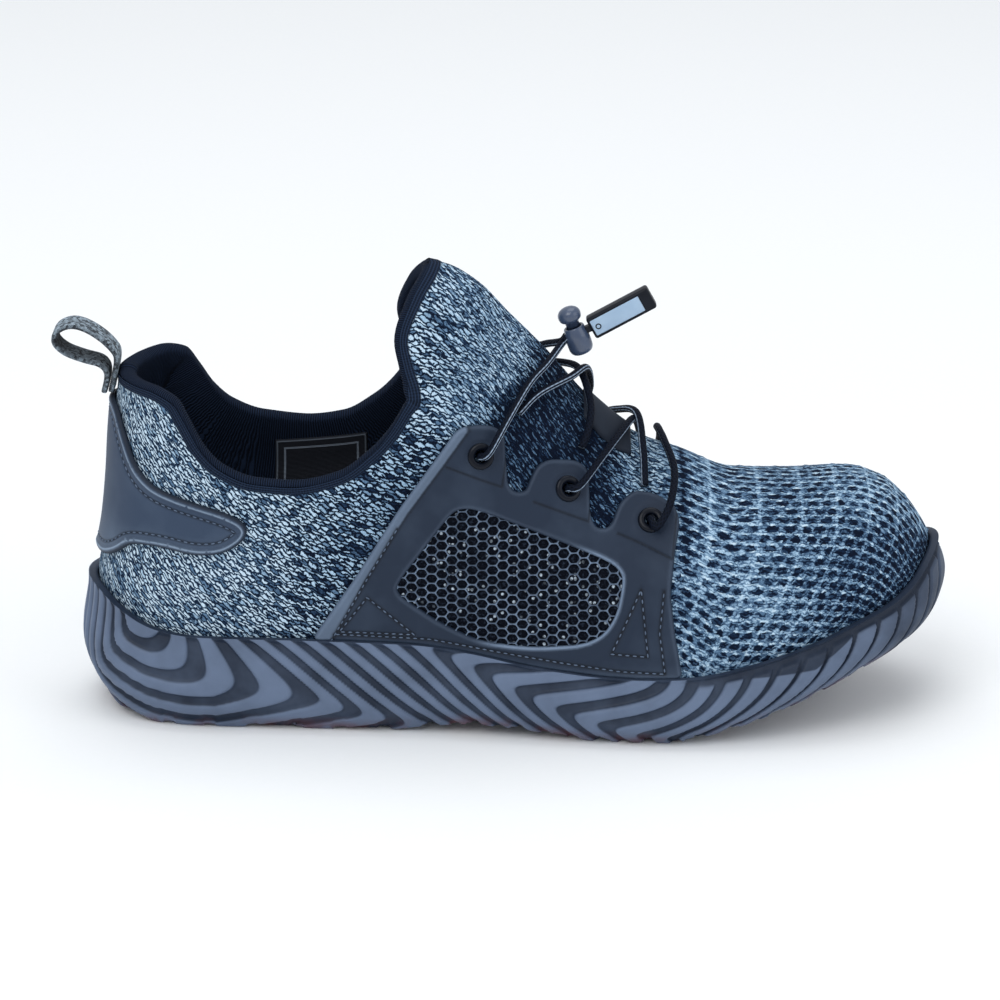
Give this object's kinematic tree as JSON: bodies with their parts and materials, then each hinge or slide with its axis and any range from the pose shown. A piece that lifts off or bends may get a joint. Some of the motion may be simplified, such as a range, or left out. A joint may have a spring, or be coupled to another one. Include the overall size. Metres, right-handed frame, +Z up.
{
  "type": "safety sneaker",
  "caption": "Right knit safety sneaker with a ribbed wave sole, honeycomb side windows, elastic laces with a cord lock, heel counter and pull loop.",
  "frame": {"origin": "centre of the heel's tread flat, on the floor the shoe stands on", "axes": "+X to the toe, +Y to the inner side of the foot, +Z up"},
  "size_m": [0.3067, 0.1066, 0.1572],
  "materials": {
    "moulded_rubber": "satin moulded rubber, slate blue",
    "blue_grey_knit": "melange knit, pale blue-grey and navy yarns",
    "dark_foam": "brushed lining cloth over foam",
    "navy_synthetic": "smooth matt coated synthetic, dark slate blue",
    "dark_mesh": "dark mesh under a honeycomb film",
    "black_enamel": "gloss black enamel",
    "black_cord": "round elastic braid, black with a pale tracer",
    "black_plastic": "moulded, semi-gloss black",
    "pale_plate": "satin pale blue-grey face",
    "grey_webbing": "woven tape, mottled grey outside"
  },
  "bodies": {
    "shoe": {"sole": "moulded_rubber", "insole": "dark_foam", "upper": "blue_grey_knit", "saddle_lateral": "navy_synthetic", "saddle_medial": "navy_synthetic", "window_lateral": "dark_mesh", "window_medial": "dark_mesh", "heel_counter": "navy_synthetic", "pull_loop": "grey_webbing", "lace_keeper": "navy_synthetic", "lace_bar": "black_cord", "lace_cross_lower": "black_cord", "lace_cross_upper": "black_cord", "lace_end_lateral": "black_cord", "lace_end_medial": "black_cord", "cord_lock_body": "black_plastic", "cord_clip": "black_plastic", "clip_plate": "pale_plate", "eyelet_lateral_1": "black_enamel", "eyelet_lateral_2": "black_enamel", "eyelet_lateral_3": "black_enamel", "eyelet_medial_1": "black_enamel", "eyelet_medial_2": "black_enamel", "eyelet_medial_3": "black_enamel"},
    "lock_button": {"cord_lock_button": "black_plastic"}
  },
  "joints": [
    {"name": "lock_button_press", "type": "slide", "parent": "shoe", "child": "lock_button", "axis": [0.342, 0, -0.9397], "range_m": [0, 0.002], "stiffness_N_per_m": 300, "springref_m": -0.002}
  ]
}
